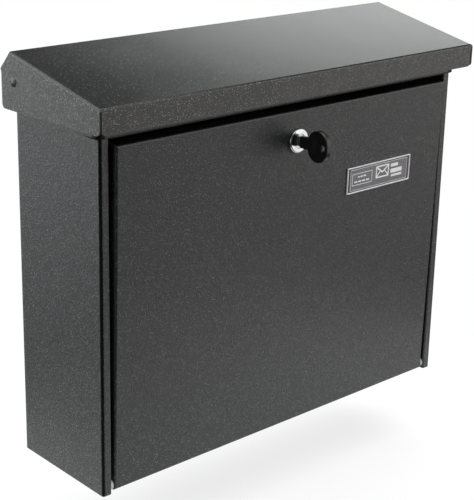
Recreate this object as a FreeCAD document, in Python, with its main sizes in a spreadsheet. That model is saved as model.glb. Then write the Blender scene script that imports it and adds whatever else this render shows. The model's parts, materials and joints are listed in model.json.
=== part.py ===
# Wall letterbox of folded sheet steel: lift-up rain lid, bottom-hinged door, cam lock with its key.
# Frame: +X to the right, +Y towards the wall, +Z up. The wall plane is y = 0 and the origin is the
# centre of the four wall-screw holes. Sub-parts are drawn with z counted from the underside of the
# housing, and their Placement moves them down to the frame. Millimetres.
import FreeCAD, Part
import Sketcher
import os
import re

Vector = FreeCAD.Vector
X_AXIS = Vector(1, 0, 0)
Y_AXIS = Vector(0, 1, 0)
Z_AXIS = Vector(0, 0, 1)

doc = FreeCAD.newDocument("letterbox")
sheet = doc.addObject("Spreadsheet::Sheet", "Dims")

DIMENSIONS = {
    # housing
    "body_width": 350,        # over the side panels
    "front": 101.5,           # wall plane to the front flanges
    "pad_height": 6.5,        # pressed wall pads behind the back panel
    "gauge": 1,               # sheet thickness
    "bend": 1.8,              # outer bend radius of the sheets
    "body_top": 280,          # top edge of the side panels
    "back_top": 288,          # top edge of the back panel and of the hinge ears
    "flange": 7.6,            # width of the front flanges beside the door
    "inner_return": 12,       # depth of the return behind each front flange
    "rear_flange": 12,        # flange of a side panel on the back panel
    "ear_depth": 26,          # lid hinge ear, from the back panel forward
    "ear_slope": 5,           # run of the ear's sloping front edge
    # wall fixing
    "screw_span": 260,
    "screw_rise": 190,
    "screw_height": 135,      # centre of the four screw holes above the underside
    "screw_hole": 3.25,
    "pad_foot": 14,           # radius of a pressed pad at the panel
    "pad_flat": 10.5,         # radius of its flat crown
    # bottom panel
    "upstand": 10,
    "bottom_front": 92.1,     # front edge of the bottom panel from the wall
    "drain_hole": 3,
    "drain_span": 220,
    "drain_shift": 20,        # each drain hole forward or back of the middle
    # header
    "header_low": 256.9,
    "header_gauge": 1.5,
    "header_offset": 1.25,    # its wings stand off the side panels
    "header_wing": 12,        # depth of the wings behind the flange plane
    "header_back": 89.5,      # rear face of the catch lip, from the wall
    "header_shelf": 88.5,     # rear edge of the top shelf, from the wall
    "catch_height": 9,
    "header_corner": 3,
    "header_edge": 1.3,       # rounding of its lower edge
    # lid
    "lid_width": 370,
    "lid_reach": 13.2,        # front lip in front of the flanges
    "lip_low": 263.2,
    "lip_top": 280.5,
    "ridge_back": 14.2,
    "ridge_top": 302.5,
    "lid_rear": 2.2,          # rear edge of the rear slope, from the wall
    "lid_rear_low": 289.4,
    "cheek_rear": 4.1,        # rear edge of the cheeks, from the wall
    "cheek_drop": 1.6,        # the cheeks' lower edge falls this much to the rear
    "lid_corner": 3.5,
    "lip_corner": 3,
    "seam_width": 1.2,
    # lid pivots
    "pivot_back": 18.7,
    "pivot_height": 281.9,
    "pivot_radius": 2.5,
    "pivot_head": 3.3,
    "pivot_dome": 7,          # sphere of the domed head
    "pivot_tail": 2,          # shank inside the side panel
    "spacer_radius": 5,
    "play": 0.3,              # side play between moving pieces
    "running": 0.05,          # radial clearance of a pivot in its hole
    # lid bumpers
    "bumper_radius": 6,
    "bumper_height": 2.2,
    "bumper_span": 280,
    # door
    "door_width": 329.5,
    "door_low": 1.5,
    "door_top": 252.5,
    "door_recess": 0.5,
    "door_side": 12,          # depth of the side returns
    "door_edge": 10,          # depth of the top and bottom returns
    "door_relief": 8,         # the bottom return stops short of the hinge corners
    "door_lean": 1.08,        # degrees that the door leans forward on the play of its lock
    "hinge_inset": 5,         # hinge line behind the flange plane
    "hinge_height": 5,
    "hinge_ear": 7,
    "rivet_radius": 2,
    "rivet_head": 3,
    "rivet_end": 1.4,         # thickness of its two heads
    "washer_radius": 4,
    # lock
    "lock_height": 229.8,
    "bezel_radius": 9.15,
    "bezel_proud": 3,
    "bezel_round": 1.1,
    "barrel_radius": 7.9,
    "barrel_flat": 6.9,       # centre to the anti-turn flats
    "barrel_length": 17,      # behind the door's outer face
    "plug_radius": 5.6,
    "plug_inset": 0.5,
    "nut_flats": 21,
    "nut_thick": 3,
    "tab_washer": 10.8,
    "tab_thick": 0.8,
    "cam_thick": 1.6,
    "cam_width": 12,
    "cam_length": 34,
    "cam_square": 6,
    "screw_head": 4.5,
    "screw_depth": 2.2,
    "screw_shank": 1.6,
    "screw_reach": 3.6,       # shank into the plug
    "screw_slot": 1,          # width of the cross recess
    "screw_cross": 2.2,       # half length of the cross recess
    # key
    "key_thick": 2,
    "blade_height": 7,
    "blade_depth": 17,        # blade inside the lock, from the bezel face
    "key_clear": 0.15,
    "bow_gap": 9.6,           # bezel face to the bow
    "bow_width": 19.4,
    "bow_height": 23.2,
    "bow_round": 9.6,
    "bow_thick": 4.2,
    "neck_gap": 1.2,          # bezel face to the moulded neck
    "neck_thick": 3.6,
    "neck_height": 9,
    "ring_hole": 2,
    "ring_inset": 4.2,        # centre of the ring hole from the bow's end
    "nick_start": 3.9,        # first bit cut, from the bezel face
    "nick_width": 1.2,
    "wafer_count": 4,
    "wafer_pitch": 2.4,
    "wafer_start": 4,         # first wafer slot, from the bezel face
    "wafer_thick": 0.8,
    "wafer_half": 2.2,        # half width of a wafer
    "wafer_rise": 4.7,        # half height of a wafer
    "wafer_clear": 0.2,
    # nameplate
    "plate_width": 71.6,
    "plate_height": 20.8,
    "plate_right": 91.8,      # its centre, right of the middle of the door
    "plate_middle": 188,
    "plate_thick": 1,
    "plate_rim": 0.9,
    "face_thick": 0.6,
    "tape_thick": 0.4,
    "tape_inset": 1,
    "over": 1,                # how far a cutter runs past what it cuts
}
NICK_DEPTHS = (1.2, 0.7, 1.5, 0.9)
for row, (alias, value) in enumerate(DIMENSIONS.items(), start=1):
    sheet.set("A%d" % row, alias)
    sheet.set("B%d" % row, str(value))
    sheet.setAlias("B%d" % row, alias)
doc.recompute()

ALIAS = re.compile(r"\b(%s)\b" % "|".join(sorted(DIMENSIONS, key=len, reverse=True)))


def bound(text):
    """The expression with every alias referred to the sheet."""
    return ALIAS.sub(r"Dims.\1", str(text))


def size(text):
    """The present value of such an expression."""
    value = sheet.evalExpression(bound(text))
    return float(getattr(value, "Value", value))


# ---------------------------------------------------------------- sketches and features

def origin_plane(body, role):
    return [feature for feature in body.Origin.OriginFeatures if feature.Role == role][0]


def fix_point(sketch, geometry, position, x, y):
    """Ties a point of the sketch to the two expressions."""
    for kind, text in (("DistanceX", x), ("DistanceY", y)):
        value = size(text)
        number = sketch.addConstraint(Sketcher.Constraint(kind, -1, 1, geometry, position, value))
        sketch.setExpression("Constraints[%d]" % number, bound(text))


def draw_polygon(sketch, corners):
    first = sketch.GeometryCount
    points = [Vector(size(x), size(y), 0) for x, y in corners]
    count = len(points)
    for i in range(count):
        sketch.addGeometry(Part.LineSegment(points[i], points[(i + 1) % count]), False)
    for i in range(count):
        following = first + (i + 1) % count
        sketch.addConstraint(Sketcher.Constraint("Coincident", first + i, 2, following, 1))
    for i, (x, y) in enumerate(corners):
        fix_point(sketch, first + i, 1, x, y)


def draw_circle(sketch, x, y, radius):
    number = sketch.GeometryCount
    centre = Vector(size(x), size(y), 0)
    sketch.addGeometry(Part.Circle(centre, Z_AXIS, size(radius)), False)
    fix_point(sketch, number, 3, x, y)
    held = sketch.addConstraint(Sketcher.Constraint("Radius", number, size(radius)))
    sketch.setExpression("Constraints[%d]" % held, bound(radius))


def new_sketch(body, role, polygons=(), circles=(), offset="0"):
    sketch = body.newObject("Sketcher::SketchObject", body.Name + "_sketch")
    sketch.AttachmentSupport = [(origin_plane(body, role), "")]
    sketch.MapMode = "FlatFace"
    sketch.setExpression("AttachmentOffset.Base.z", bound(offset))
    for corners in polygons:
        draw_polygon(sketch, corners)
    for circle in circles:
        draw_circle(sketch, *circle)
    return sketch


def feature(body, kind, sketch, length, both=False, reverse=False, through=False, taper=None):
    made = body.newObject("PartDesign::" + kind, body.Name + "_" + kind.lower())
    made.Profile = sketch
    if taper:
        made.setExpression("TaperAngle", bound(taper))
    if through:
        made.Type = "ThroughAll"
    else:
        made.setExpression("Length", bound(length))
    if both:
        made.SideType = "Symmetric"
    made.Reversed = reverse
    before = body.Shape.Volume if kind == "Pocket" else 0
    doc.recompute()
    if kind == "Pocket" and not body.Shape.Volume < before:
        raise RuntimeError("a pocket of %s removes nothing" % body.Label)
    return made


def pad(body, sketch, length, **options):
    return feature(body, "Pad", sketch, length, **options)


def pocket(body, sketch, length="1", **options):
    return feature(body, "Pocket", sketch, length, **options)


def runs_along(edge, axis):
    """Whether the edge is straight and parallel to the axis."""
    if len(edge.Vertexes) != 2:
        return False
    chord = edge.Vertexes[1].Point - edge.Vertexes[0].Point
    return chord.Length > 1e-6 and abs(chord.dot(axis)) > 0.999999 * edge.Length


def round_edges(body, radius, axes, chosen):
    """Rounds the straight edges along the axes whose middle point passes the test, together."""
    numbers = [number for number, edge in enumerate(body.Tip.Shape.Edges, start=1)
               if any(runs_along(edge, axis) for axis in axes) and chosen(edge.CenterOfMass)]
    round_numbered(body, radius, numbers)


def round_numbered(body, radius, numbers):
    if not numbers:
        raise RuntimeError("no edges to round on " + body.Label)
    base = body.Tip
    fillet = body.newObject("PartDesign::Fillet", body.Name + "_fillet")
    fillet.Base = (base, ["Edge%d" % number for number in numbers])
    fillet.setExpression("Radius", bound(radius))
    doc.recompute()


def near(value, text, tolerance=0.01):
    return abs(value - size(text)) < tolerance


def new_body(label):
    body = doc.addObject("PartDesign::Body", label)
    body.Label = label
    return body


def rectangle(x0, y0, x1, y1):
    return [(x0, y0), (x1, y0), (x1, y1), (x0, y1)]


# ---------------------------------------------------------------- primitives and booleans

TURN_TO = {
    "x": FreeCAD.Rotation(Y_AXIS, 90),
    "y": FreeCAD.Rotation(X_AXIS, -90),
    "z": FreeCAD.Rotation(),
}


def bind_place(item, x, y, z):
    for letter, text in (("x", x), ("y", y), ("z", z)):
        item.setExpression("Placement.Base." + letter, bound(text))


def box(name, x0, y0, z0, x1, y1, z1):
    item = doc.addObject("Part::Box", name)
    item.setExpression("Length", bound("(%s) - (%s)" % (x1, x0)))
    item.setExpression("Width", bound("(%s) - (%s)" % (y1, y0)))
    item.setExpression("Height", bound("(%s) - (%s)" % (z1, z0)))
    bind_place(item, x0, y0, z0)
    return item


def cylinder(name, axis, radius, length, x, y, z):
    item = doc.addObject("Part::Cylinder", name)
    item.setExpression("Radius", bound(radius))
    item.setExpression("Height", bound(length))
    item.Placement.Rotation = TURN_TO[axis]
    bind_place(item, x, y, z)
    return item


def fuse(name, items):
    made = doc.addObject("Part::MultiFuse", name)
    made.Shapes = items
    made.Refine = True
    return made


def cut(name, base, tools):
    made = doc.addObject("Part::Cut", name)
    made.Base = base
    made.Tool = tools[0] if len(tools) == 1 else fuse(name + "_tools", tools)
    made.Refine = True
    return made


def compound(name, items):
    made = doc.addObject("Part::Compound", name)
    made.Links = items
    return made


def mirrored(label, source):
    made = doc.addObject("Part::Mirroring", label)
    made.Source = source
    made.Normal = X_AXIS
    made.Base = Vector(0, 0, 0)
    made.Label = label
    return made


HALF = "body_width/2"
FRONT = "-front"
BACK_REAR = "-pad_height"                 # rear face of the back panel
BACK_FACE = "-(pad_height + gauge)"       # front face of the back panel
DOOR_FACE = "-(front - door_recess)"      # outer face of the upright door
BEZEL_FACE = "-(front - door_recess + bezel_proud)"

upright = []      # sub-parts of the housing and the lid
leaning = []      # sub-parts that lean with the door
copies = []       # mirrored sub-parts, placed by their source


# ---------------------------------------------------------------- housing

def back_panel():
    body = new_body("back_panel")
    plate = new_sketch(body, "XZ_Plane", [rectangle("-" + HALF, "0", HALF, "back_top")],
                       offset="pad_height")
    pad(body, plate, "gauge")
    spots = []
    for side in ("-", ""):
        for level in ("-", "+"):
            spots.append((side + "screw_span/2", "screw_height %s screw_rise/2" % level))
    crowns = new_sketch(body, "XZ_Plane", circles=[(x, z, "pad_foot") for x, z in spots],
                        offset="pad_height")
    narrowing = "-atan((pad_foot - pad_flat)/pad_height)"
    pad(body, crowns, "pad_height", reverse=True, taper=narrowing)
    hollows = new_sketch(body, "XZ_Plane", circles=[(x, z, "pad_foot - gauge") for x, z in spots],
                         offset="pad_height + gauge")
    pocket(body, hollows, "pad_height", taper=narrowing)
    holes = new_sketch(body, "XZ_Plane", circles=[(x, z, "screw_hole") for x, z in spots],
                       offset="front")
    pocket(body, holes, through=True)
    upright.append(body)


def side_panels():
    body = new_body("side_panel_right")
    inner = "%s - flange" % HALF
    section = [
        (HALF, BACK_FACE), (HALF, FRONT), (inner, FRONT), (inner, FRONT + " + inner_return"),
        (inner + " + gauge", FRONT + " + inner_return"), (inner + " + gauge", FRONT + " + gauge"),
        (HALF + " - gauge", FRONT + " + gauge"), (HALF + " - gauge", BACK_FACE + " - gauge"),
        (HALF + " - rear_flange", BACK_FACE + " - gauge"), (HALF + " - rear_flange", BACK_FACE),
    ]
    pad(body, new_sketch(body, "XY_Plane", [section]), "back_top")
    above = [
        (FRONT + " - over", "body_top"), (BACK_FACE + " - ear_depth", "body_top"),
        (BACK_FACE + " - ear_depth + ear_slope", "back_top + over"), (FRONT + " - over", "back_top + over"),
    ]
    pocket(body, new_sketch(body, "YZ_Plane", [above]), reverse=True, through=True)
    pivot = [("-pivot_back", "pivot_height", "pivot_radius")]
    pocket(body, new_sketch(body, "YZ_Plane", circles=pivot), reverse=True, through=True)
    hinge = [(FRONT + " + hinge_inset", "hinge_height", "rivet_radius")]
    pocket(body, new_sketch(body, "YZ_Plane", circles=hinge), HALF + " - flange + 2*gauge", reverse=True)
    round_edges(body, "bend", [Z_AXIS], lambda p: near(p.x, HALF) and near(p.y, FRONT))
    round_edges(body, "bend - gauge", [Z_AXIS],
                lambda p: near(p.x, HALF + " - gauge") and near(p.y, FRONT + " + gauge"))
    round_edges(body, "bend - gauge/2", [Z_AXIS], lambda p: near(p.x, inner) and near(p.y, FRONT))
    upright.append(body)
    copies.append(mirrored("side_panel_left", body))


def bottom_panel():
    body = new_body("bottom_panel")
    outer = HALF + " - gauge"
    rear = BACK_FACE + " - gauge"
    plate = new_sketch(body, "XY_Plane", [rectangle("-(%s)" % outer, "-bottom_front", outer, rear)])
    pad(body, plate, "upstand")
    tray = rectangle("-(%s - gauge)" % outer, "-bottom_front - over", outer + " - gauge", rear + " - gauge")
    pocket(body, new_sketch(body, "XY_Plane", [tray], offset="upstand"), "upstand - gauge")
    front_cut = rectangle("-bottom_front - over", "gauge", "-header_back + 2*header_gauge", "upstand + over")
    pocket(body, new_sketch(body, "YZ_Plane", [front_cut]), "body_width", both=True)
    drains = [(side + "drain_span/2", "-front/2 " + shift, "drain_hole")
              for side in ("-", "") for shift in ("+ drain_shift", "- drain_shift")]
    pocket(body, new_sketch(body, "XY_Plane", circles=drains, offset="upstand"), through=True)
    upright.append(body)


def header():
    body = new_body("header")
    wrap = "(%s + header_offset + header_gauge)" % HALF
    inside = "(%s + header_offset)" % HALF
    outer_front = FRONT + " - header_gauge"
    wing_end = FRONT + " + header_wing"
    around = [
        ("-" + wrap, wing_end), ("-" + wrap, outer_front), (wrap, outer_front), (wrap, wing_end),
        (inside, wing_end), (inside, FRONT), ("-" + inside, FRONT), ("-" + inside, wing_end),
    ]
    pad(body, new_sketch(body, "XY_Plane", [around], offset="header_low"), "body_top - header_low")
    round_edges(body, "header_corner", [Z_AXIS],
                lambda p: near(abs(p.x), wrap) and near(p.y, outer_front))
    round_edges(body, "header_edge", [X_AXIS],
                lambda p: near(p.z, "header_low") and near(p.y, outer_front))
    catch = [
        (outer_front + " + header_gauge/2", "header_low"), ("-header_back", "header_low"),
        ("-header_back", "header_low + catch_height"),
        ("-header_back - header_gauge", "header_low + catch_height"),
        ("-header_back - header_gauge", "header_low + header_gauge"),
        (outer_front + " + header_gauge/2", "header_low + header_gauge"),
    ]
    between = "body_width - 2*flange - 2*play"
    pad(body, new_sketch(body, "YZ_Plane", [catch]), between, both=True)
    shelf = rectangle(outer_front + " + header_gauge/2", "body_top - header_gauge",
                      "-header_shelf", "body_top")
    pad(body, new_sketch(body, "YZ_Plane", [shelf]), between, both=True)
    upright.append(body)


LIP = "-(front + lid_reach)"              # outer face of the lid's front lip
SLOPE = "atan((ridge_top - lip_top)/(front + lid_reach - ridge_back))"
FALL = "atan((ridge_top - lid_rear_low)/(ridge_back - lid_rear))"


def lid_outside():
    """Section of the folded sheet: lip, slope, ridge, short rear slope with its edge standing proud."""
    return [
        (LIP, "lip_low"), (LIP, "lip_top"), ("-ridge_back", "ridge_top"), ("-lid_rear", "lid_rear_low"),
        ("-cheek_rear", "lid_rear_low - (cheek_rear - lid_rear)"), ("-cheek_rear", "lip_low - cheek_drop"),
        (LIP + " + gauge", "lip_low"),
    ]


def lid_inside():
    """The same section one sheet thickness further in, open below and behind."""
    rise = "gauge*tan(45 deg - %s/2)" % SLOPE
    slide = "gauge*sin((%s - %s)/2)/cos((%s + %s)/2)" % (FALL, SLOPE, FALL, SLOPE)
    drop = "gauge*cos((%s - %s)/2)/cos((%s + %s)/2)" % (FALL, SLOPE, FALL, SLOPE)
    rear_drop = "lid_rear_low - gauge/cos(%s)" % FALL
    low = "lip_low - cheek_drop - over"
    return [
        (LIP + " + gauge", low), (LIP + " + gauge", "lip_top - " + rise),
        ("-ridge_back - " + slide, "ridge_top - " + drop), ("-lid_rear", rear_drop),
        ("-lid_rear + over", rear_drop + " - 2*over"), ("-lid_rear + over", low),
    ]


def lid():
    body = new_body("lid")
    pad(body, new_sketch(body, "YZ_Plane", [lid_outside()]), "lid_width", both=True)
    half = "lid_width/2"
    slot_side = "(%s - gauge)" % half
    lip_end = "(%s - gauge - seam_width)" % half
    folds = []
    for number, edge in enumerate(body.Tip.Shape.Edges, start=1):
        middle = edge.CenterOfMass
        across = runs_along(edge, X_AXIS) and middle.z > size("lip_top") - 0.01
        beside = near(abs(middle.x), half) and middle.z > size("lip_top") + 0.01
        proud = middle.z < size("lid_rear_low") and middle.y > -size("cheek_rear")
        if (across or beside) and not proud and not near(middle.y, "-lid_rear"):
            folds.append(number)
    round_numbered(body, "bend", folds)
    round_edges(body, "lid_corner", [X_AXIS],
                lambda p: near(p.z, "lip_low - cheek_drop") and near(p.y, "-cheek_rear"))
    pocket(body, new_sketch(body, "YZ_Plane", [lid_inside()]), "lid_width - 2*gauge", both=True)
    pivot = [("-pivot_back", "pivot_height", "pivot_radius + running")]
    pocket(body, new_sketch(body, "YZ_Plane", circles=pivot), "lid_width + 2*over", both=True)
    seams = [rectangle(sign + slot_side, "lip_low - over", sign + lip_end, "lip_top - bend")
             for sign in ("-", "")]
    pocket(body, new_sketch(body, "XZ_Plane", seams, offset="-(%s) + over" % LIP), "2*over + gauge")
    round_edges(body, "lip_corner", [Y_AXIS], lambda p: near(p.z, "lip_low") and near(abs(p.x), lip_end))
    round_edges(body, "lip_corner", [X_AXIS],
                lambda p: near(p.z, "lip_low") and near(p.y, LIP) and abs(p.x) > size(slot_side))
    upright.append(body)


def lid_pivots():
    cheek = "lid_width/2"
    level = ("-pivot_back", "pivot_height")
    start = "(%s - gauge - pivot_tail)" % HALF
    shank = cylinder("lid_pin_shank", "x", "pivot_radius", "%s + play - %s" % (cheek, start), start, *level)
    ball = doc.addObject("Part::Sphere", "lid_pin_ball")
    ball.setExpression("Radius", bound("pivot_dome"))
    bind_place(ball, "%s + play - sqrt(pivot_dome^2 - pivot_head^2)" % cheek, *level)
    slab = cylinder("lid_pin_slab", "x", "pivot_head", "pivot_head", "%s + play" % cheek, *level)
    dome = doc.addObject("Part::MultiCommon", "lid_pin_dome")
    dome.Shapes = [ball, slab]
    pin = fuse("lid_pin_right", [shank, dome])
    tube = cylinder("lid_spacer_tube", "x", "spacer_radius", "%s - gauge - play - %s" % (cheek, HALF),
                    HALF, *level)
    bore = cylinder("lid_spacer_bore", "x", "pivot_radius", "lid_width", HALF + " - over", *level)
    spacer = cut("lid_spacer_right", tube, [bore])
    disc = cylinder("lid_nut_disc", "x", "spacer_radius", "gauge", HALF + " - 2*gauge", *level)
    eye = cylinder("lid_nut_eye", "x", "pivot_radius", "3*gauge", HALF + " - 3*gauge", *level)
    nut = cut("lid_pin_nut_right", disc, [eye])
    for right, left in ((pin, "lid_pin_left"), (spacer, "lid_spacer_left"), (nut, "lid_pin_nut_left")):
        upright.append(right)
        copies.append(mirrored(left, right))


def lid_bumpers():
    pads = []
    middle = "-(front + header_shelf)/2"
    for number, side in enumerate(("-", "")):
        pads.append(cylinder("bumper_%d" % number, "z", "bumper_radius", "bumper_height",
                             side + "bumper_span/2", middle, "body_top"))
    upright.append(compound("lid_bumpers", pads))


def door_hinges():
    level = (FRONT + " + hinge_inset", "hinge_height")
    frame = "(%s - flange)" % HALF
    leaf = "(door_width/2)"
    shank = cylinder("rivet_shank", "x", "rivet_radius", "%s + gauge - (%s - gauge - play)" % (frame, leaf),
                     leaf + " - gauge - play", *level)
    head = cylinder("rivet_head_outer", "x", "rivet_head", "rivet_end", frame + " + gauge", *level)
    tail = cylinder("rivet_head_inner", "x", "rivet_head", "rivet_end",
                    leaf + " - gauge - play - rivet_end", *level)
    rivet = fuse("door_rivet_right", [shank, head, tail])
    disc = cylinder("door_washer_disc", "x", "washer_radius", "%s - %s - play" % (frame, leaf),
                    leaf + " + play", *level)
    eye = cylinder("door_washer_eye", "x", "rivet_radius", "flange", leaf, *level)
    washer = cut("door_washer_right", disc, [eye])
    for right, left in ((rivet, "door_rivet_left"), (washer, "door_washer_left")):
        upright.append(right)
        copies.append(mirrored(left, right))


# ---------------------------------------------------------------- door

def door_panel():
    body = new_body("door_panel")
    half = "door_width/2"
    front = "front - door_recess"
    face = rectangle("-" + half, "door_low", half, "door_top")
    pad(body, new_sketch(body, "XZ_Plane", [face], offset=front), "door_side", reverse=True)
    round_edges(body, "bend", [X_AXIS, Z_AXIS], lambda p: near(p.y, DOOR_FACE))
    inside = rectangle("-(%s - gauge)" % half, "door_low + gauge", "%s - gauge" % half, "door_top - gauge")
    pocket(body, new_sketch(body, "XZ_Plane", [inside], offset="%s - door_side - over" % front),
           "door_side - gauge + over", reverse=True)
    deep = "-(%s) + door_edge" % front
    beyond = "-(%s) + door_side + over" % front
    for low, high in (("door_low - over", "door_low + gauge"), ("door_top - gauge", "door_top + over")):
        trim = rectangle(deep, low, beyond, high)
        pocket(body, new_sketch(body, "YZ_Plane", [trim]), "door_width - 2*gauge", both=True)
    for sign in ("-", ""):
        corner = rectangle("%s(%s - gauge)" % (sign, half), DOOR_FACE + " + bend",
                           "%s(%s - door_relief)" % (sign, half), beyond)
        pocket(body, new_sketch(body, "XY_Plane", [corner], offset="door_low + gauge + over/2"),
               "gauge + over")
    round_edges(body, "hinge_ear", [X_AXIS],
                lambda p: near(p.y, "-(%s) + door_side" % front) and near(p.z, "door_low"))
    hinge = [(FRONT + " + hinge_inset", "hinge_height", "rivet_radius + running")]
    pocket(body, new_sketch(body, "YZ_Plane", circles=hinge), "door_width + 2*over", both=True)
    bore = [("0", "lock_height", "barrel_radius")]
    pocket(body, new_sketch(body, "XZ_Plane", circles=bore, offset=front + " + over"), "gauge + 2*over")
    leaning.append(body)


def nameplate():
    low, high = "(plate_middle - plate_height/2)", "(plate_middle + plate_height/2)"
    left, right = "(plate_right - plate_width/2)", "(plate_right + plate_width/2)"
    face_y = DOOR_FACE
    tape = box("adhesive_pad", left + " + tape_inset", face_y + " - tape_thick", low + " + tape_inset",
               right + " - tape_inset", face_y, high + " - tape_inset")
    outer = box("frame_outer", left, face_y + " - tape_thick - plate_thick", low,
                right, face_y + " - tape_thick", high)
    inner = box("frame_inner", left + " + plate_rim", face_y + " - tape_thick - plate_thick - over",
                low + " + plate_rim", right + " - plate_rim", face_y, high + " - plate_rim")
    frame = cut("nameplate_frame", outer, [inner])
    face = box("face_plate", left + " + plate_rim", face_y + " - tape_thick - face_thick",
               low + " + plate_rim", right + " - plate_rim", face_y + " - tape_thick", high + " - plate_rim")
    leaning.extend([compound("nameplate_adhesive", [tape]), frame, compound("nameplate_face", [face])])


# ---------------------------------------------------------------- lock and key

def lock_housing():
    body = new_body("lock_housing")
    centre = ("0", "lock_height")
    head = new_sketch(body, "XZ_Plane", circles=[centre + ("bezel_radius",)],
                      offset="front - door_recess")
    pad(body, head, "bezel_proud")
    barrel = new_sketch(body, "XZ_Plane", circles=[centre + ("barrel_radius - play/3",)],
                        offset="front - door_recess")
    pad(body, barrel, "barrel_length", reverse=True)
    flats = [rectangle(side + "barrel_flat", "lock_height - barrel_radius", side + "(barrel_radius + over)",
                       "lock_height + barrel_radius") for side in ("-", "")]
    pocket(body, new_sketch(body, "XZ_Plane", flats, offset="front - door_recess - gauge"),
           "barrel_length")
    bore = new_sketch(body, "XZ_Plane", circles=[centre + ("plug_radius + running",)],
                      offset="front + bezel_proud + over")
    pocket(body, bore, through=True)
    rim = [number for number, edge in enumerate(body.Tip.Shape.Edges, start=1)
           if near(edge.Length, "2*pi*bezel_radius") and near(edge.CenterOfMass.y, BEZEL_FACE)]
    round_numbered(body, "bezel_round", rim)
    leaning.append(body)


def lock_fixings():
    inside = DOOR_FACE + " + gauge"
    disc = cylinder("tab_disc", "y", "tab_washer", "tab_thick", "0", inside, "lock_height")
    hole = cylinder("tab_hole", "y", "barrel_radius", "tab_thick + 2*over", "0", inside + " - over",
                    "lock_height")
    leaning.append(cut("lock_washer", disc, [hole]))
    hexagon = doc.addObject("Part::Prism", "nut_blank")
    hexagon.Polygon = 6
    hexagon.setExpression("Circumradius", bound("nut_flats/2/cos(30)"))
    hexagon.setExpression("Height", bound("nut_thick"))
    hexagon.Placement.Rotation = TURN_TO["y"]
    bind_place(hexagon, "0", inside + " + tab_thick", "lock_height")
    thread = cylinder("nut_hole", "y", "barrel_radius", "2*tab_thick + nut_thick", "0", inside,
                      "lock_height")
    leaning.append(cut("lock_nut", hexagon, [thread]))


def lock_plug():
    front_y = BEZEL_FACE + " + plug_inset"
    rear_y = DOOR_FACE + " + barrel_length"
    plug = cylinder("plug_round", "y", "plug_radius", "(%s) - (%s)" % (rear_y, front_y),
                    "0", front_y, "lock_height")
    boss = box("plug_square", "-cam_square/2", rear_y, "lock_height - cam_square/2",
               "cam_square/2", rear_y + " + cam_thick", "lock_height + cam_square/2")
    key_side, key_rise = "(key_thick/2 + key_clear)", "(blade_height/2 + key_clear)"
    keyway = box("plug_keyway", "-" + key_side, front_y + " - over", "lock_height - " + key_rise,
                 key_side, BEZEL_FACE + " + blade_depth + 2*wafer_clear", "lock_height + " + key_rise)
    tap = cylinder("plug_tap", "y", "screw_shank", "screw_reach + 2*over", "0",
                   rear_y + " + cam_thick - screw_reach - wafer_clear", "lock_height")
    slots = []
    wafers = []
    for number in range(int(DIMENSIONS["wafer_count"])):
        start = BEZEL_FACE + " + wafer_start + %d*wafer_pitch" % number
        middle = start + " + wafer_clear/2"
        slots.append(box("wafer_slot_%d" % number, "-(wafer_half + wafer_clear)", start,
                         "lock_height - wafer_rise - wafer_clear", "wafer_half + wafer_clear",
                         start + " + wafer_thick + wafer_clear", "lock_height + wafer_rise + wafer_clear"))
        blank = box("wafer_blank_%d" % number, "-wafer_half", middle, "lock_height - wafer_rise",
                    "wafer_half", middle + " + wafer_thick", "lock_height + wafer_rise")
        window = box("wafer_window_%d" % number, "-" + key_side, start + " - over",
                     "lock_height - " + key_rise, key_side, start + " + wafer_thick + 2*over",
                     "lock_height + " + key_rise)
        wafers.append(cut("wafer_%d" % number, blank, [window]))
    leaning.append(cut("lock_plug", fuse("plug_body", [plug, boss]), [keyway, tap] + slots))
    leaning.append(compound("lock_wafers", wafers))


def lock_cam():
    front_y = DOOR_FACE + " + barrel_length"
    bar = box("cam_bar", "-cam_length + cam_width/2", front_y, "lock_height - cam_width/2",
              "0", front_y + " + cam_thick", "lock_height + cam_width/2")
    tip = cylinder("cam_tip", "y", "cam_width/2", "cam_thick", "-cam_length + cam_width/2", front_y,
                   "lock_height")
    hub = cylinder("cam_hub", "y", "cam_width/2", "cam_thick", "0", front_y, "lock_height")
    square = box("cam_hole", "-cam_square/2", front_y + " - over", "lock_height - cam_square/2",
                 "cam_square/2", front_y + " + cam_thick + over", "lock_height + cam_square/2")
    leaning.append(cut("lock_cam", fuse("cam_blank", [bar, tip, hub]), [square]))
    seat = front_y + " + cam_thick"
    head = cylinder("cam_screw_head", "y", "screw_head", "screw_depth", "0", seat, "lock_height")
    shank = cylinder("cam_screw_shank", "y", "screw_shank", "screw_reach + screw_depth/2", "0",
                     seat + " - screw_reach", "lock_height")
    depth = (seat + " + screw_depth/2", seat + " + screw_depth + over")
    across = box("cam_screw_slot_a", "-screw_cross", depth[0], "lock_height - screw_slot/2",
                 "screw_cross", depth[1], "lock_height + screw_slot/2")
    upward = box("cam_screw_slot_b", "-screw_slot/2", depth[0], "lock_height - screw_cross",
                 "screw_slot/2", depth[1], "lock_height + screw_cross")
    leaning.append(cut("cam_screw", fuse("cam_screw_blank", [head, shank]), [across, upward]))


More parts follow.
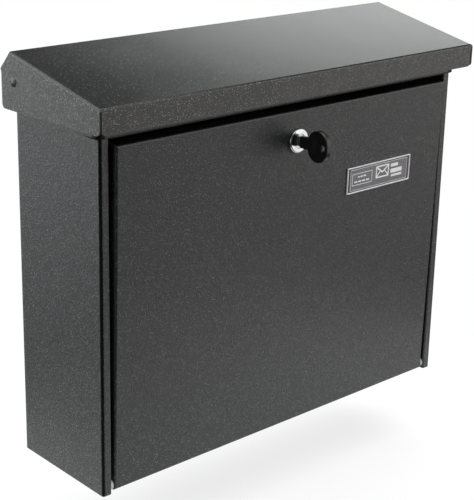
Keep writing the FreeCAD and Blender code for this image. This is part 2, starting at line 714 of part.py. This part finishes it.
def key():
    neck = BEZEL_FACE + " - bow_gap"
    blade = box("key_blade", "-key_thick/2", neck + " - bow_width/2", "lock_height - blade_height/2",
                "key_thick/2", BEZEL_FACE + " + blade_depth", "lock_height + blade_height/2")
    blade.Label = "key_blade_blank"
    nicks = []
    for number, depth in enumerate(NICK_DEPTHS):
        start = BEZEL_FACE + " + nick_start + %d*wafer_pitch" % number
        nicks.append(box("key_nick_%d" % number, "-key_thick", start,
                         "lock_height + blade_height/2 - %s" % depth,
                         "key_thick", start + " + nick_width", "lock_height + blade_height"))
    cut_blade = cut("key_blade_cut", blade, nicks)
    cut_blade.Label = "key_blade"
    leaning.append(cut_blade)

    body = new_body("key_bow")
    outline = rectangle(neck + " - bow_width", "lock_height - bow_height/2", neck,
                        "lock_height + bow_height/2")
    pad(body, new_sketch(body, "YZ_Plane", [outline]), "bow_thick", both=True)
    round_edges(body, "bow_round", [X_AXIS], lambda p: True)
    root = BEZEL_FACE + " - neck_gap"
    collar = rectangle(neck + " - bow_width/4", "lock_height - neck_height/2", root,
                       "lock_height + neck_height/2")
    pad(body, new_sketch(body, "YZ_Plane", [collar]), "neck_thick", both=True)
    ring_hole = [("%s - bow_width + ring_inset" % neck, "lock_height", "ring_hole")]
    pocket(body, new_sketch(body, "YZ_Plane", circles=ring_hole), "bow_thick + 2*over", both=True)
    groove = rectangle("-(key_thick/2)", "lock_height - blade_height/2", "key_thick/2",
                       "lock_height + blade_height/2")
    pocket(body, new_sketch(body, "XZ_Plane", [groove], offset="-(%s) - over" % root),
           "bow_gap - neck_gap + bow_width/2 + over", reverse=True)
    leaning.append(body)


for build in (back_panel, side_panels, bottom_panel, header, lid, lid_pivots, lid_bumpers, door_hinges,
              door_panel, nameplate, lock_housing, lock_fixings, lock_plug, lock_cam, key):
    build()

# ---------------------------------------------------------------- placing and writing

down = FreeCAD.Placement(Vector(0, 0, -size("screw_height")), FreeCAD.Rotation())
hinge_line = Vector(0, size("-front + hinge_inset"), size("hinge_height"))
lean = FreeCAD.Placement(Vector(), FreeCAD.Rotation(X_AXIS, size("door_lean")), hinge_line)
for item in upright:
    item.Placement = down.multiply(item.Placement)
for item in leaning:
    item.Placement = down.multiply(lean).multiply(item.Placement)
doc.recompute()

subparts = upright + leaning + copies
for item in doc.Objects:
    if {"Invalid", "Error"} & set(item.State):
        raise RuntimeError("%s failed: %s" % (item.Label, item.State))
os.makedirs("parts", exist_ok=True)
for item in subparts:
    shape = item.Shape
    if shape.isNull() or not shape.isValid() or not shape.Solids:
        raise RuntimeError("%s has no valid solid" % item.Label)
    shape.exportStep(os.path.join("parts", item.Label + ".step"))
    print("%-20s solids %d volume %.1f mm3" % (item.Label, len(shape.Solids), shape.Volume))
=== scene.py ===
import json
import math

import bmesh
import bpy
from mathutils import Euler, Matrix, Vector


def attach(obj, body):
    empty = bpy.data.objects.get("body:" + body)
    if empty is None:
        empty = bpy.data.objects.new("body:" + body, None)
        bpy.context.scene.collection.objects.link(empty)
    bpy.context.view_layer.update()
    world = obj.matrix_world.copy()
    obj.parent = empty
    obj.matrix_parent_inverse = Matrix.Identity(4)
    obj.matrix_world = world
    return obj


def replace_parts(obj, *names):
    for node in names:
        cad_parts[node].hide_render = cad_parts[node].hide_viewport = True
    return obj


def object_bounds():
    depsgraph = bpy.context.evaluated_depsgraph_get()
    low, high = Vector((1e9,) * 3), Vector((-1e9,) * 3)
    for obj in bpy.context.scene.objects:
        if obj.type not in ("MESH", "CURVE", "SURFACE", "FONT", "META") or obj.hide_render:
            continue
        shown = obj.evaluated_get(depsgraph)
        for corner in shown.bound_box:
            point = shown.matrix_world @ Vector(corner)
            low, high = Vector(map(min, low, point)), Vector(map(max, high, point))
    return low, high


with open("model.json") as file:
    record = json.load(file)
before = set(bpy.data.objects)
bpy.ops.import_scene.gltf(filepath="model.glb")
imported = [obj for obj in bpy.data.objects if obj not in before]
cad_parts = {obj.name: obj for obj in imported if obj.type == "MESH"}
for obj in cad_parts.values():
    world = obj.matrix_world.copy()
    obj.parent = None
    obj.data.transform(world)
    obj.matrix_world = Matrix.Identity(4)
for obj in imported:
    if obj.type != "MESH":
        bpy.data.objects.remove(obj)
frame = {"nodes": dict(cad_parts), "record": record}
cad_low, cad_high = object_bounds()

scene = bpy.context.scene
MM = 0.001


# ---------------------------------------------------------------- node helpers

def node(tree, kind, inputs=None, **settings):
    """Adds a shader node; an input's value is a constant, or a socket to link from."""
    made = tree.nodes.new("ShaderNode" + kind)
    for name, value in settings.items():
        setattr(made, name, value)
    for name, value in (inputs or {}).items():
        if isinstance(value, bpy.types.NodeSocket):
            tree.links.new(value, made.inputs[name])
        else:
            made.inputs[name].default_value = value
    return made


def new_material(name):
    """A material and its tree, holding only a Principled shader wired to the output."""
    material = bpy.data.materials.new(name)
    material.use_nodes = True
    tree = material.node_tree
    tree.nodes.clear()
    output = tree.nodes.new("ShaderNodeOutputMaterial")
    shader = tree.nodes.new("ShaderNodeBsdfPrincipled")
    tree.links.new(shader.outputs["BSDF"], output.inputs["Surface"])
    return material, tree, shader


def place_in(tree, stretch=(1, 1, 1)):
    """The point of the surface in the object's own metres, stretched along its axes."""
    point = node(tree, "TexCoord").outputs["Object"]
    return node(tree, "Mapping", {"Vector": point, "Scale": stretch}).outputs["Vector"]


def noise(tree, point, scale, detail=3.0, roughness=0.55):
    inputs = {"Vector": point, "Scale": scale, "Detail": detail, "Roughness": roughness}
    return node(tree, "TexNoise", inputs).outputs["Fac"]


def remap(tree, value, low, high, to_low=0.0, to_high=1.0):
    """Takes value from low..high to to_low..to_high, softly and clamped."""
    inputs = {"Value": value, "From Min": low, "From Max": high, "To Min": to_low, "To Max": to_high}
    return node(tree, "MapRange", inputs, interpolation_type="SMOOTHSTEP").outputs["Result"]


def mix_colours(tree, share, first, second):
    made = node(tree, "Mix", data_type="RGBA")
    for socket, value in zip((made.inputs[0], made.inputs[6], made.inputs[7]), (share, first, second)):
        if isinstance(value, bpy.types.NodeSocket):
            tree.links.new(value, socket)
        else:
            socket.default_value = value
    return made.outputs[2]


def combine(tree, operation, first, second):
    return node(tree, "Math", {0: first, 1: second}, operation=operation).outputs["Value"]


def bump(tree, height, strength, distance, under=None):
    inputs = {"Height": height, "Strength": strength, "Distance": distance}
    if under is not None:
        inputs["Normal"] = under
    return node(tree, "Bump", inputs).outputs["Normal"]


def link(tree, source, shader, name):
    tree.links.new(source, shader.inputs[name])


def edge_mask(tree, radius, low, high):
    """1 along the outer edges of the sheet, 0 on its flats, from how far a bevel would turn the normal."""
    soft = node(tree, "Bevel", {"Radius": radius}, samples=4).outputs["Normal"]
    true = node(tree, "NewGeometry").outputs["True Normal"]
    same = node(tree, "VectorMath", {0: soft, 1: true}, operation="DOT_PRODUCT").outputs["Value"]
    return remap(tree, combine(tree, "SUBTRACT", 1.0, same), low, high)


# ---------------------------------------------------------------- materials

FOLD_SHADE_START, FOLD_SHADE_FULL = 0.2743, 0.2752      # |x| - y where the painted shade of the front folds begins and is full
FOLD_SHADE_RAGGED = 0.0005
FLAT_UP, FULL_UP = 0.35, 0.85               # upward part of the normal where the upward scaling, and with it the painted top shade, begins and is full
FLECK_CELLS = 1000.0                        # per metre
CLOUD_SCALE = 14.0
# Radius and share of the lighter grains painted along edges as a highlight
EDGE_HIGHLIGHT_RADIUS = 0.0009
EDGE_HIGHLIGHT_SHARE = 0.35
COAT_SHINE = 0.5
COAT_IOR = 1.5


def painted_fold_shade(tree, point, ragged):
    """Mask of painted shade: 1 along the two upright folds between a side and the front, with a ragged
    border.
    """
    parts = node(tree, "SeparateXYZ", {"Vector": point}).outputs
    outward = combine(tree, "SUBTRACT", combine(tree, "ABSOLUTE", parts["X"], 0.0), parts["Y"])
    outward = combine(tree, "ADD", outward, remap(tree, ragged, 0.3, 0.7, -FOLD_SHADE_RAGGED, FOLD_SHADE_RAGGED))
    return remap(tree, outward, FOLD_SHADE_START, FOLD_SHADE_FULL)


def powder_coat(name, dark, light, fleck, grain_scale=950.0, relief=0.00022, gloss=0.33,
                density=0.60, top_shade_grain=0.4, top_gloss=1.0, top_relief=0.3, fold_shade_shine=None):
    """Textured powder coat: pebbled relief, lighter grains and mica flecks.

    Lighter grains along the edges are a painted highlight. The top_ values scale the grain, the
    roughness and the relief on upward faces; the thinner grain there is painted shade on the tops.
    A fold_shade_shine darkens the front folds with painted shade and sets their shine.
    """
    material, tree, shader = new_material(name)
    point = place_in(tree)
    pebbles = noise(tree, point, grain_scale, detail=3.0, roughness=0.68)
    cloud = noise(tree, point, CLOUD_SCALE, detail=3.0)
    normal = node(tree, "TexCoord").outputs["Normal"]
    upward = node(tree, "SeparateXYZ", {"Vector": normal}).outputs["Z"]

    def upward_scaled(top):
        return remap(tree, upward, FLAT_UP, FULL_UP, 1.0, top)

    # Grain and flecks thinned on upward faces: painted shade that darkens the tops
    painted_top_shade = upward_scaled(top_shade_grain)
    cells = node(tree, "TexVoronoi", {"Vector": point, "Scale": FLECK_CELLS, "Randomness": 1.0})
    lot = node(tree, "SeparateColor", {"Color": cells.outputs["Color"]}).outputs["Red"]
    near_centre = remap(tree, cells.outputs["Distance"], 0.50, 0.22)
    flecks = combine(tree, "MULTIPLY", remap(tree, lot, density, 1.0), near_centre)
    flecks = combine(tree, "MULTIPLY", flecks, painted_top_shade)
    # Tone of the pebbles and clouds; the painted top shade scales it below
    shade = combine(tree, "ADD", remap(tree, pebbles, 0.42, 0.64, 0.0, 0.85),
                    remap(tree, cloud, 0.3, 0.7, 0.0, 0.15))
    colour = mix_colours(tree, combine(tree, "MULTIPLY", shade, painted_top_shade), dark, light)
    colour = mix_colours(tree, flecks, colour, fleck)
    # Lighter grains along the edges: a painted highlight on the bends
    painted_edge_highlight = edge_mask(tree, EDGE_HIGHLIGHT_RADIUS, 0.02, 0.2)
    colour = mix_colours(tree, combine(tree, "MULTIPLY", painted_edge_highlight, EDGE_HIGHLIGHT_SHARE), colour, fleck)
    if fold_shade_shine is None:
        shader.inputs["Specular IOR Level"].default_value = COAT_SHINE
    else:
        # Darker colour and less shine along the front folds: painted shade
        fold_shade = painted_fold_shade(tree, point, pebbles)
        colour = mix_colours(tree, fold_shade, colour, dark)
        link(tree, remap(tree, fold_shade, 0.0, 1.0, COAT_SHINE, fold_shade_shine), shader, "Specular IOR Level")
    link(tree, colour, shader, "Base Color")
    rough = combine(tree, "ADD", remap(tree, pebbles, 0.3, 0.7, gloss + 0.10, gloss - 0.08),
                    remap(tree, cloud, 0.25, 0.75, -0.03, 0.03))
    link(tree, combine(tree, "MULTIPLY", rough, upward_scaled(top_gloss)), shader, "Roughness")
    link(tree, bump(tree, pebbles, upward_scaled(top_relief), relief), shader, "Normal")
    shader.inputs["IOR"].default_value = COAT_IOR
    return material


def metal(name, colour, tint, roughness, scratch_scale=(60.0, 60.0, 900.0), relief=0.000008):
    """Plated or turned metal with fine drawn marks and faint stains."""
    material, tree, shader = new_material(name)
    point = place_in(tree)
    marks = noise(tree, place_in(tree, scratch_scale), 6.0, detail=4.0)
    stain = noise(tree, point, 160.0, detail=3.0)
    link(tree, mix_colours(tree, remap(tree, stain, 0.35, 0.7), colour, tint), shader, "Base Color")
    rough = combine(tree, "ADD", remap(tree, stain, 0.3, 0.7, roughness * 0.75, roughness * 1.3),
                    remap(tree, marks, 0.3, 0.7, 0.0, 0.05))
    link(tree, rough, shader, "Roughness")
    link(tree, bump(tree, marks, 0.6, relief), shader, "Normal")
    shader.inputs["Metallic"].default_value = 1.0
    return material


def plastic(name, colour, tint, roughness, grain_scale=900.0, relief=0.00003):
    """Moulded plastic or rubber with a spark-eroded grain."""
    material, tree, shader = new_material(name)
    point = place_in(tree)
    grain = noise(tree, point, grain_scale, detail=3.0)
    patch = noise(tree, point, 70.0, detail=2.0)
    link(tree, mix_colours(tree, remap(tree, patch, 0.3, 0.7), colour, tint), shader, "Base Color")
    link(tree, remap(tree, grain, 0.3, 0.7, roughness + 0.08, roughness - 0.08), shader, "Roughness")
    link(tree, bump(tree, grain, 0.8, relief), shader, "Normal")
    return material


MATERIALS = {
    "powder_coat": powder_coat("coat_body", (0.004, 0.005, 0.005, 1), (0.030, 0.032, 0.032, 1),
                               (0.16, 0.17, 0.17, 1), relief=0.00028, fold_shade_shine=0.08),
    # Lighter grains on the lid's lip and cheeks and few on its top: painted light on the upright faces,
    # painted shade on the top
    "lid_coat": powder_coat("coat_lid", (0.003, 0.0035, 0.0035, 1), (0.066, 0.064, 0.062, 1),
                            (0.30, 0.30, 0.29, 1), gloss=0.28, relief=0.00034, density=0.50,
                            top_shade_grain=0.24, top_gloss=0.5, top_relief=0.05),
    "door_coat": powder_coat("coat_door", (0.003, 0.004, 0.004, 1), (0.028, 0.030, 0.030, 1),
                             (0.17, 0.18, 0.18, 1), gloss=0.29, relief=0.00032, density=0.56),
    "pin_coat": powder_coat("coat_pins", (0.008, 0.009, 0.009, 1), (0.040, 0.042, 0.042, 1),
                            (0.20, 0.21, 0.21, 1), relief=0.00006, gloss=0.34),
    "zinc_steel": metal("zinc_plate", (0.62, 0.64, 0.66, 1), (0.50, 0.53, 0.56, 1), 0.34),
    "rubber": plastic("rubber_pad", (0.018, 0.018, 0.019, 1), (0.030, 0.030, 0.031, 1), 0.62),
    "nylon": plastic("nylon_washer", (0.46, 0.50, 0.49, 1), (0.38, 0.42, 0.41, 1), 0.42),
    "plate_rim": plastic("plate_rim_moulding", (0.96, 0.96, 0.97, 1), (0.88, 0.89, 0.90, 1), 0.20,
                         700.0, 0.00001),
    "plate_bead": plastic("plate_bead_moulding", (0.80, 0.81, 0.82, 1), (0.72, 0.73, 0.74, 1), 0.26,
                          700.0, 0.00001),
    "plate_print": plastic("plate_print_ink", (0.98, 0.98, 0.98, 1), (0.92, 0.92, 0.93, 1), 0.36),
    "plate_face": plastic("plate_face_print", (0.122, 0.118, 0.130, 1), (0.146, 0.141, 0.154, 1), 0.30),
    "plate_well": plastic("plate_well_shade", (0.010, 0.010, 0.011, 1), (0.016, 0.016, 0.017, 1), 0.42),
    "foam_tape": plastic("foam_tape", (0.30, 0.30, 0.29, 1), (0.36, 0.36, 0.35, 1), 0.85, 1600.0, 0.0001),
    "lock_chrome": metal("chrome", (0.52, 0.53, 0.54, 1), (0.45, 0.46, 0.48, 1), 0.12),
    "plug_metal": metal("plug_nickel", (0.50, 0.50, 0.49, 1), (0.42, 0.42, 0.41, 1), 0.24),
    "brass": metal("brass", (0.66, 0.48, 0.20, 1), (0.52, 0.36, 0.14, 1), 0.28),
    "key_metal": metal("key_nickel", (0.60, 0.59, 0.56, 1), (0.50, 0.49, 0.46, 1), 0.20),
    "key_plastic": plastic("key_plastic", (0.004, 0.004, 0.0045, 1), (0.007, 0.007, 0.0075, 1), 0.34,
                           900.0, 0.00001),
}


def dress_cad():
    """Gives every CAD node the material of its slot."""
    for subpart in frame["record"]["subparts"]:
        mesh = frame["nodes"][subpart["node"]].data
        mesh.materials.clear()
        mesh.materials.append(MATERIALS[subpart["material_slot"]])


dress_cad()


# ---------------------------------------------------------------- detail pieces

HOUSING_LOW = -0.135                       # underside of the housing
HINGE_Y, HINGE_Z = -0.0965, HOUSING_LOW + 0.005
LEAN = math.radians(1.08)
DOOR_FACE_Y = -0.101                       # outer face of the door before it leans
LOCK_Z = HOUSING_LOW + 0.2298
BEZEL_Y = DOOR_FACE_Y - 0.003
TAPE = 0.0004

hinge = Vector((0, HINGE_Y, HINGE_Z))
LEANING = Matrix.Translation(hinge) @ Matrix.Rotation(LEAN, 4, "X") @ Matrix.Translation(-hinge)
UPRIGHT = Matrix.Rotation(math.radians(90), 4, "X")      # a drawing's x, y to the part's x, z


def finish_mesh(name, mesh, material, body, sharp=35):
    """A piece from a finished mesh, smooth except over its sharper edges."""
    for face in mesh.polygons:
        face.use_smooth = True
    mesh.set_sharp_from_angle(angle=math.radians(sharp))
    mesh.materials.clear()
    mesh.materials.append(material)
    piece = bpy.data.objects.new(name, mesh)
    scene.collection.objects.link(piece)
    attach(piece, body)
    return piece


def oval(width, height, corner, x=0.0, y=0.0, steps=10):
    """Points of a rounded rectangle round (x, y)."""
    points = []
    for turn, (sx, sy) in enumerate(((1, 1), (-1, 1), (-1, -1), (1, -1))):
        centre = (x + sx * (width / 2 - corner), y + sy * (height / 2 - corner))
        for step in range(steps + 1):
            angle = math.radians(90 * turn + 90 * step / steps)
            points.append((centre[0] + corner * math.cos(angle), centre[1] + corner * math.sin(angle)))
    return points


def slab_mesh(outlines, thickness, bevel, place, rings=3):
    """Flat slab of the closed outlines, inner ones being holes, with rounded edges, centred on z = 0."""
    curve = bpy.data.curves.new("slab", "CURVE")
    curve.dimensions = "2D"
    curve.fill_mode = "BOTH"
    curve.extrude = thickness / 2 - bevel
    curve.bevel_depth = bevel
    curve.bevel_resolution = rings
    curve.offset = -bevel
    for outline in outlines:
        spline = curve.splines.new("POLY")
        spline.points.add(len(outline) - 1)
        for point, (x, y) in zip(spline.points, outline):
            point.co = (x, y, 0, 1)
        spline.use_cyclic_u = True
    holder = bpy.data.objects.new("slab", curve)
    scene.collection.objects.link(holder)
    mesh = bpy.data.meshes.new_from_object(holder)
    bpy.data.objects.remove(holder)
    mesh.transform(place)
    return mesh


def join(meshes):
    """One mesh from several."""
    shape = bmesh.new()
    for mesh in meshes:
        shape.from_mesh(mesh)
        bpy.data.meshes.remove(mesh)
    whole = bpy.data.meshes.new("joined")
    shape.to_mesh(whole)
    shape.free()
    return whole


def swept_ring(width, height, profile, corner=0.0006):
    """Ring whose closed section (inset, rise) follows a rectangle; x, y drawn, z the rise."""
    shape = bmesh.new()
    loops = []
    for inset, rise in profile:
        outline = oval(width - 2 * inset, height - 2 * inset, max(corner - inset, 0.0001), steps=4)
        loops.append([shape.verts.new((x, y, rise)) for x, y in outline])
    for loop, following in zip(loops, loops[1:] + loops[:1]):
        for i in range(len(loop)):
            j = (i + 1) % len(loop)
            shape.faces.new((loop[i], loop[j], following[j], following[i]))
    bmesh.ops.recalc_face_normals(shape, faces=shape.faces)
    mesh = bpy.data.meshes.new("ring")
    shape.to_mesh(mesh)
    shape.free()
    return mesh


def on_door(x, z, rise=0.0):
    """Places a drawing, x right and y up, on the door's outer face, at the rise in front of it."""
    return LEANING @ Matrix.Translation((x, DOOR_FACE_Y - rise, HOUSING_LOW + z)) @ UPRIGHT


PLATE_X, PLATE_Z = 0.0918, 0.188
PLATE_WIDTH, PLATE_HEIGHT = 0.0716, 0.0208
RIM_INSIDE = 1.7 * MM                      # both rims' widths, with a small gap
FIELD_INSET_X, FIELD_INSET_Z = 7.4 * MM, 4.6 * MM
TRAY_THICK, FIELD_THICK = 0.2 * MM, 0.5 * MM
TRAY_RISE, FIELD_RISE = 0.1 * MM, 0.37 * MM
BEAD_OUTSET = 0.9 * MM
PRINT_THICK, PRINT_EDGE = 0.14 * MM, 0.03 * MM


def nameplate():
    """Tray-like nameplate: a bevelled rim, a channel, and a raised field with a bright edge."""
    place = on_door(PLATE_X, PLATE_Z, TAPE)
    rim = swept_ring(PLATE_WIDTH, PLATE_HEIGHT, [
        (0, 0), (0, 0.70 * MM), (0.12 * MM, 0.92 * MM), (0.32 * MM, 1.0 * MM), (0.58 * MM, 1.0 * MM),
        (0.80 * MM, 0.90 * MM), (0.92 * MM, 0.66 * MM), (0.92 * MM, 0)])
    rim.transform(place)
    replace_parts(finish_mesh("nameplate_rim", rim, MATERIALS["plate_rim"], "door"),
                "nameplate_frame")
    inside_x, inside_z = PLATE_WIDTH - RIM_INSIDE, PLATE_HEIGHT - RIM_INSIDE
    field_x, field_z = PLATE_WIDTH - FIELD_INSET_X, PLATE_HEIGHT - FIELD_INSET_Z
    # The tray shows only in the channel between rim and field; its near black is painted shade there
    tray = slab_mesh([oval(inside_x, inside_z, 0.5 * MM)], TRAY_THICK, 0.04 * MM,
                     place @ Matrix.Translation((0, 0, TRAY_RISE)))
    field = slab_mesh([oval(field_x, field_z, 0.6 * MM)], FIELD_THICK, 0.1 * MM,
                      place @ Matrix.Translation((0, 0, FIELD_RISE)))
    finish_mesh("nameplate_well_shade", tray, MATERIALS["plate_well"], "door")
    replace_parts(finish_mesh("nameplate_field", field, MATERIALS["plate_face"], "door"),
                "nameplate_face")
    bead = swept_ring(field_x + BEAD_OUTSET, field_z + BEAD_OUTSET, [
        (0, 0.1 * MM), (0, 0.5 * MM), (0.12 * MM, 0.72 * MM), (0.36 * MM, 0.72 * MM),
        (0.48 * MM, 0.55 * MM), (0.48 * MM, 0.1 * MM)])
    bead.transform(place)
    finish_mesh("nameplate_bead", bead, MATERIALS["plate_bead"], "door")


PRINT_RISE = 1.03 * MM                     # middle of the print's thickness, off the door
DASH_HEIGHT = 1.15 * MM
ENVELOPE_LINE = 1.2 * MM
FLAP_LINE, FOLD_LINE = 1.3 * MM, 0.9 * MM
BARS = (                                   # x, z, width, height in millimetres
    (109.2, 192.8, 8.6, 2.6),
    (111.6, 188.2, 13.4, 3.4),
    (112.0, 184.4, 12.6, 1.8),
)


def label_box():
    """Left of the field: a thin frame round two rows of plain dashes."""
    outer = oval(22.6 * MM, 9.4 * MM, 0.8 * MM)
    inner = oval(21.7 * MM, 8.5 * MM, 0.5 * MM)[::-1]
    parts = [slab_mesh([outer, inner], PRINT_THICK, PRINT_EDGE, on_door(0.0725, 0.1882, PRINT_RISE), 1)]
    for z, dashes in ((0.1899, ((68.6, 2.0), (71.6, 2.6), (75.2, 3.0))),
                      (0.1862, ((65.4, 3.4), (69.8, 3.6), (74.2, 3.2), (78.6, 3.8)))):
        for x, width in dashes:
            dash = oval(width * MM, DASH_HEIGHT, 0.3 * MM, steps=4)
            parts.append(slab_mesh([dash], PRINT_THICK, PRINT_EDGE, on_door(x * MM, z, PRINT_RISE), 1))
    finish_mesh("nameplate_label", join(parts), MATERIALS["plate_print"], "door")


def stroke(x0, y0, x1, y1, width):
    """Outline of a straight stroke with square ends."""
    along = Vector((x1 - x0, y1 - y0)).normalized()
    across = Vector((-along.y, along.x)) * width / 2
    start, end = Vector((x0, y0)), Vector((x1, y1))
    return [tuple(point) for point in (start - across, end - across, end + across, start + across)]


def envelope_print():
    """Right of the field: a plain envelope and bars."""
    half_x, half_z = 7.6 * MM, 5.0 * MM
    place = on_door(0.0955, 0.1899, PRINT_RISE)
    outer = oval(2 * half_x, 2 * half_z, 0.9 * MM)
    inner = oval(2 * (half_x - ENVELOPE_LINE), 2 * (half_z - ENVELOPE_LINE), 0.2 * MM, steps=4)[::-1]
    parts = [slab_mesh([outer, inner], PRINT_THICK, PRINT_EDGE, place, 1)]
    for side in (-1, 1):
        flap = stroke(side * (half_x - 0.7 * MM), half_z - 0.9 * MM, 0, -0.8 * MM, FLAP_LINE)
        lower = stroke(side * (half_x - 0.7 * MM), -half_z + 0.8 * MM, side * 2.3 * MM, 0.7 * MM, FOLD_LINE)
        for outline in (flap, lower):
            parts.append(slab_mesh([outline], 0.12 * MM, 0.02 * MM, place, 1))
    for x, z, width, height in BARS:
        parts.append(slab_mesh([oval(width * MM, height * MM, 0.6 * MM)], PRINT_THICK, PRINT_EDGE,
                               on_door(x * MM, z * MM, PRINT_RISE), 1))
    finish_mesh("nameplate_envelope", join(parts), MATERIALS["plate_print"], "door")


BOW_EDGE = 0.6 * MM
BOW_ROUND = 9.6 * MM
NECK_THICK = 3.6 * MM
GRIP_COUNT, GRIP_STEP = 3, 1.9 * MM
GRIP_STANDS = 0.4 * MM                     # both sides together


def key_bow():
    """Moulded bow: an oval disc with soft edges, a ring hole, grip ribs and a narrower neck."""
    width, height, thick = 19.4 * MM, 23.2 * MM, 4.2 * MM
    gap, neck_gap = 9.6 * MM, 1.2 * MM
    sideways = Matrix.Rotation(math.radians(90), 4, "Z") @ UPRIGHT    # drawing x to +y, y to z
    place = LEANING @ Matrix.Translation((0, BEZEL_Y, LOCK_Z)) @ sideways
    middle = -gap - width / 2
    hole = oval(3.0 * MM, 4.6 * MM, 1.5 * MM, -gap - width + 4.2 * MM, 0)[::-1]
    disc = slab_mesh([oval(width, height, BOW_ROUND, middle, 0, 16), hole], thick, BOW_EDGE, place, 4)
    neck_long = gap - neck_gap + 3 * MM
    neck = slab_mesh([oval(neck_long, 9.0 * MM, 1.6 * MM, -neck_gap - neck_long / 2, 0)],
                     NECK_THICK, 0.7 * MM, place, 3)
    grips = [slab_mesh([oval(0.7 * MM, 11.0 * MM, 0.34 * MM, middle + 4.6 * MM - GRIP_STEP * i, 0)],
                       thick + GRIP_STANDS, 0.3 * MM, place, 2) for i in range(GRIP_COUNT)]
    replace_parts(finish_mesh("key_bow_moulded", join([disc, neck] + grips), MATERIALS["key_plastic"],
                            "key", 50), "key_bow")


nameplate()
label_box()
envelope_print()
key_bow()


# ---------------------------------------------------------------- stage

def floor():
    """Pale paper disc that glows, more towards its rim, so that the rim is lost in the white behind; the
    glow is painted light, which also lightens the box's shadow on it.
    """
    mesh = bpy.data.meshes.new("floor")
    shape = bmesh.new()
    bmesh.ops.create_circle(shape, cap_ends=True, segments=128, radius=FLOOR_RADIUS)
    shape.to_mesh(mesh)
    shape.free()
    made = bpy.data.objects.new("floor", mesh)
    made.location = (*FLOOR_CENTRE, cad_low.z - FLOOR_DROP)
    scene.collection.objects.link(made)
    material, tree, shader = new_material("floor_paper")
    point = place_in(tree)
    grain = noise(tree, point, PAPER_SCALE)
    paper = mix_colours(tree, grain, (0.93, 0.93, 0.93, 1), (0.96, 0.96, 0.96, 1))
    away = node(tree, "VectorMath", {0: point}, operation="LENGTH").outputs["Value"]
    glow = remap(tree, away, GLOW_FROM * FLOOR_RADIUS, GLOW_TO * FLOOR_RADIUS, GLOW_LEAST, 1.0)
    link(tree, mix_colours(tree, glow, paper, (0, 0, 0, 1)), shader, "Base Color")
    link(tree, glow, shader, "Emission Strength")
    shader.inputs["Emission Color"].default_value = (1, 1, 1, 1)
    shader.inputs["Roughness"].default_value = 0.9
    shader.inputs["Specular IOR Level"].default_value = 0.0
    mesh.materials.append(material)


def world_light():
    """Soft studio surroundings: a grey room with broad bright panels round the object."""
    world = bpy.data.worlds.new("studio")
    scene.world = world
    world.use_nodes = True
    tree = world.node_tree
    tree.nodes.clear()
    output = tree.nodes.new("ShaderNodeOutputWorld")
    direction = node(tree, "TexCoord").outputs["Generated"]
    total = node(tree, "CombineXYZ", {"X": ROOM, "Y": ROOM, "Z": ROOM}).outputs["Vector"]
    for azimuth, elevation, inner, outer, strength, tint in PANELS:
        turn, rise = math.radians(azimuth), math.radians(elevation)
        aim = (math.sin(turn) * math.cos(rise), math.cos(turn) * math.cos(rise), math.sin(rise))
        facing = node(tree, "VectorMath", {0: direction, 1: aim}, operation="DOT_PRODUCT")
        share = remap(tree, facing.outputs["Value"], math.cos(math.radians(outer)),
                      math.cos(math.radians(inner)), 0.0, strength)
        colour = node(tree, "VectorMath", {0: tint, "Scale": share}, operation="SCALE")
        total = node(tree, "VectorMath", {0: total, 1: colour.outputs["Vector"]}).outputs["Vector"]
    lit = node(tree, "Background", {"Color": total})
    seen = node(tree, "Background", {"Color": (1, 1, 1, 1)})
    camera_ray = node(tree, "LightPath").outputs["Is Camera Ray"]
    both = node(tree, "MixShader", {0: camera_ray, 1: lit.outputs[0], 2: seen.outputs[0]})
    tree.links.new(both.outputs[0], output.inputs["Surface"])


FLOOR_RADIUS = 0.345
FLOOR_CENTRE = (0.06, -0.01)
FLOOR_DROP = 0.060                         # clears the opened door and the drawn key below the housing
PAPER_SCALE = 30.0
GLOW_FROM, GLOW_TO = 0.3, 0.95             # shares of the radius where the glow starts and is full
GLOW_LEAST = 0.72
ROOM = 0.07
PANELS = (
    # azimuth from +Y towards +X, elevation, full and zero angles from the centre, strength, tint
    (132, 8, 23, 36, 1.75, (1.0, 0.985, 0.97)),      # right front
    (322, 14, 28, 35, 2.7, (0.95, 1.0, 0.99)),       # left rear
    (49.5, 4, 21, 26.5, 2.05, (0.98, 1.0, 1.0)),          # right rear, on the lid's slope
    (0, 90, 28, 46, 3.1, (1.0, 1.0, 1.0)),           # overhead
    (272, 8, 10, 34, 0.9, (0.97, 1.0, 1.0)),         # left
)

scene.view_settings.view_transform = "Standard"
floor()
world_light()

CAMERA_PLACE = (-0.6597, -0.7546, 0.3324)
CAMERA_TURN = (72.256, -0.559, -40.374)    # degrees
LENS, SENSOR = 94.5, 36                    # millimetres
SHIFT_X, SHIFT_Y = 0.10, -0.071

camera_data = bpy.data.cameras.new("camera")
camera_data.lens = LENS
camera_data.sensor_width = SENSOR
camera_data.shift_x = SHIFT_X
camera_data.shift_y = SHIFT_Y
camera = bpy.data.objects.new("camera", camera_data)
camera.location = CAMERA_PLACE
camera.rotation_euler = Euler([math.radians(angle) for angle in CAMERA_TURN], "XYZ")
scene.collection.objects.link(camera)
scene.camera = camera
